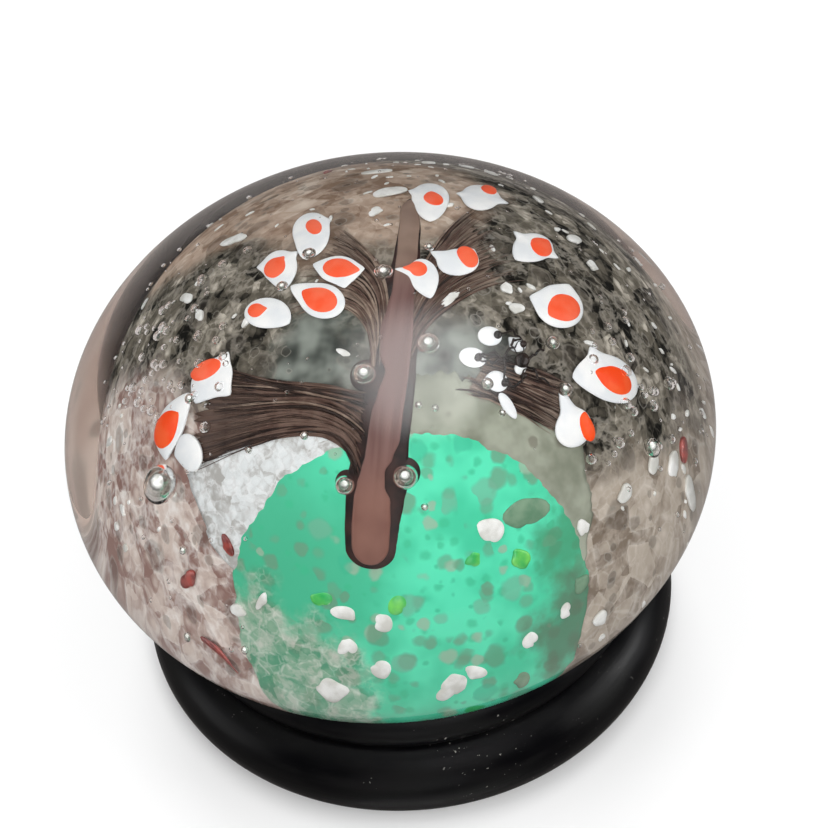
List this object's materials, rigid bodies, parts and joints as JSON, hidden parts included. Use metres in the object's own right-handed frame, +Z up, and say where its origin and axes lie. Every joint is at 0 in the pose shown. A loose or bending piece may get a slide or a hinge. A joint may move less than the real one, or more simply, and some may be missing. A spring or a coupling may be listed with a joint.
{
  "type": "glass orb ornament on stand",
  "caption": "Solid clear glass orb with a tree, hill and blossoms of coloured glass inside, resting on a turned black wooden ring stand.",
  "frame": {"origin": "centre of the stand's underside, on the surface it rests on", "axes": "+Z up; the scene in the glass faces -Y; +X to the viewer's right"},
  "size_m": [0.1, 0.1, 0.0803],
  "materials": {
    "black_lacquer": "satin lacquer over turned wood",
    "black_felt": "matt felt",
    "clear_glass": "fire polished",
    "smoky_glass": "granular",
    "green_glass": "smooth",
    "pale_glass": "granular",
    "mauve_glass": "smooth",
    "dark_glass": "smooth",
    "white_glass": "smooth",
    "orange_glass": "smooth",
    "red_brown_glass": "smooth",
    "lime_glass": "smooth",
    "granule_glass": "crushed"
  },
  "bodies": {
    "stand": {"stand_ring": "black_lacquer", "felt_pad": "black_felt"},
    "orb": {"clear_casing": "clear_glass", "smoky_core": "smoky_glass", "green_hill": "green_glass", "pale_drift": "pale_glass", "trunk_cane": "mauve_glass", "trunk_dark_line": "dark_glass", "branch_fan_low_left": "dark_glass", "branch_fan_high_left": "dark_glass", "branch_fan_high_right": "dark_glass", "branch_fan_low_right": "dark_glass", "blossom_01": "white_glass", "blossom_02": "white_glass", "blossom_03": "white_glass", "blossom_04": "white_glass", "blossom_05": "white_glass", "blossom_06": "white_glass", "blossom_07": "white_glass", "blossom_08": "white_glass", "blossom_09": "white_glass", "blossom_10": "white_glass", "blossom_11": "white_glass", "blossom_12": "white_glass", "blossom_13": "white_glass", "blossom_14": "white_glass", "blossom_15": "white_glass", "blossom_heart_01": "orange_glass", "blossom_heart_02": "orange_glass", "blossom_heart_03": "orange_glass", "blossom_heart_04": "orange_glass", "blossom_heart_05": "orange_glass", "blossom_heart_06": "orange_glass", "blossom_heart_07": "orange_glass", "blossom_heart_08": "orange_glass", "blossom_heart_09": "orange_glass", "blossom_heart_10": "orange_glass", "blossom_heart_11": "orange_glass", "blossom_heart_12": "orange_glass", "blossom_heart_13": "orange_glass", "blossom_heart_14": "orange_glass", "blossom_heart_15": "orange_glass", "white_drops": "white_glass", "dark_seeds": "dark_glass", "white_flecks": "white_glass", "red_chips": "red_brown_glass", "green_chips": "lime_glass", "clear_granules": "granule_glass"}
  },
  "joints": [
    {"name": "orb_lift", "type": "slide", "parent": "stand", "child": "orb", "axis": [0, 0, 1], "range_m": [0, 0.06]}
  ]
}
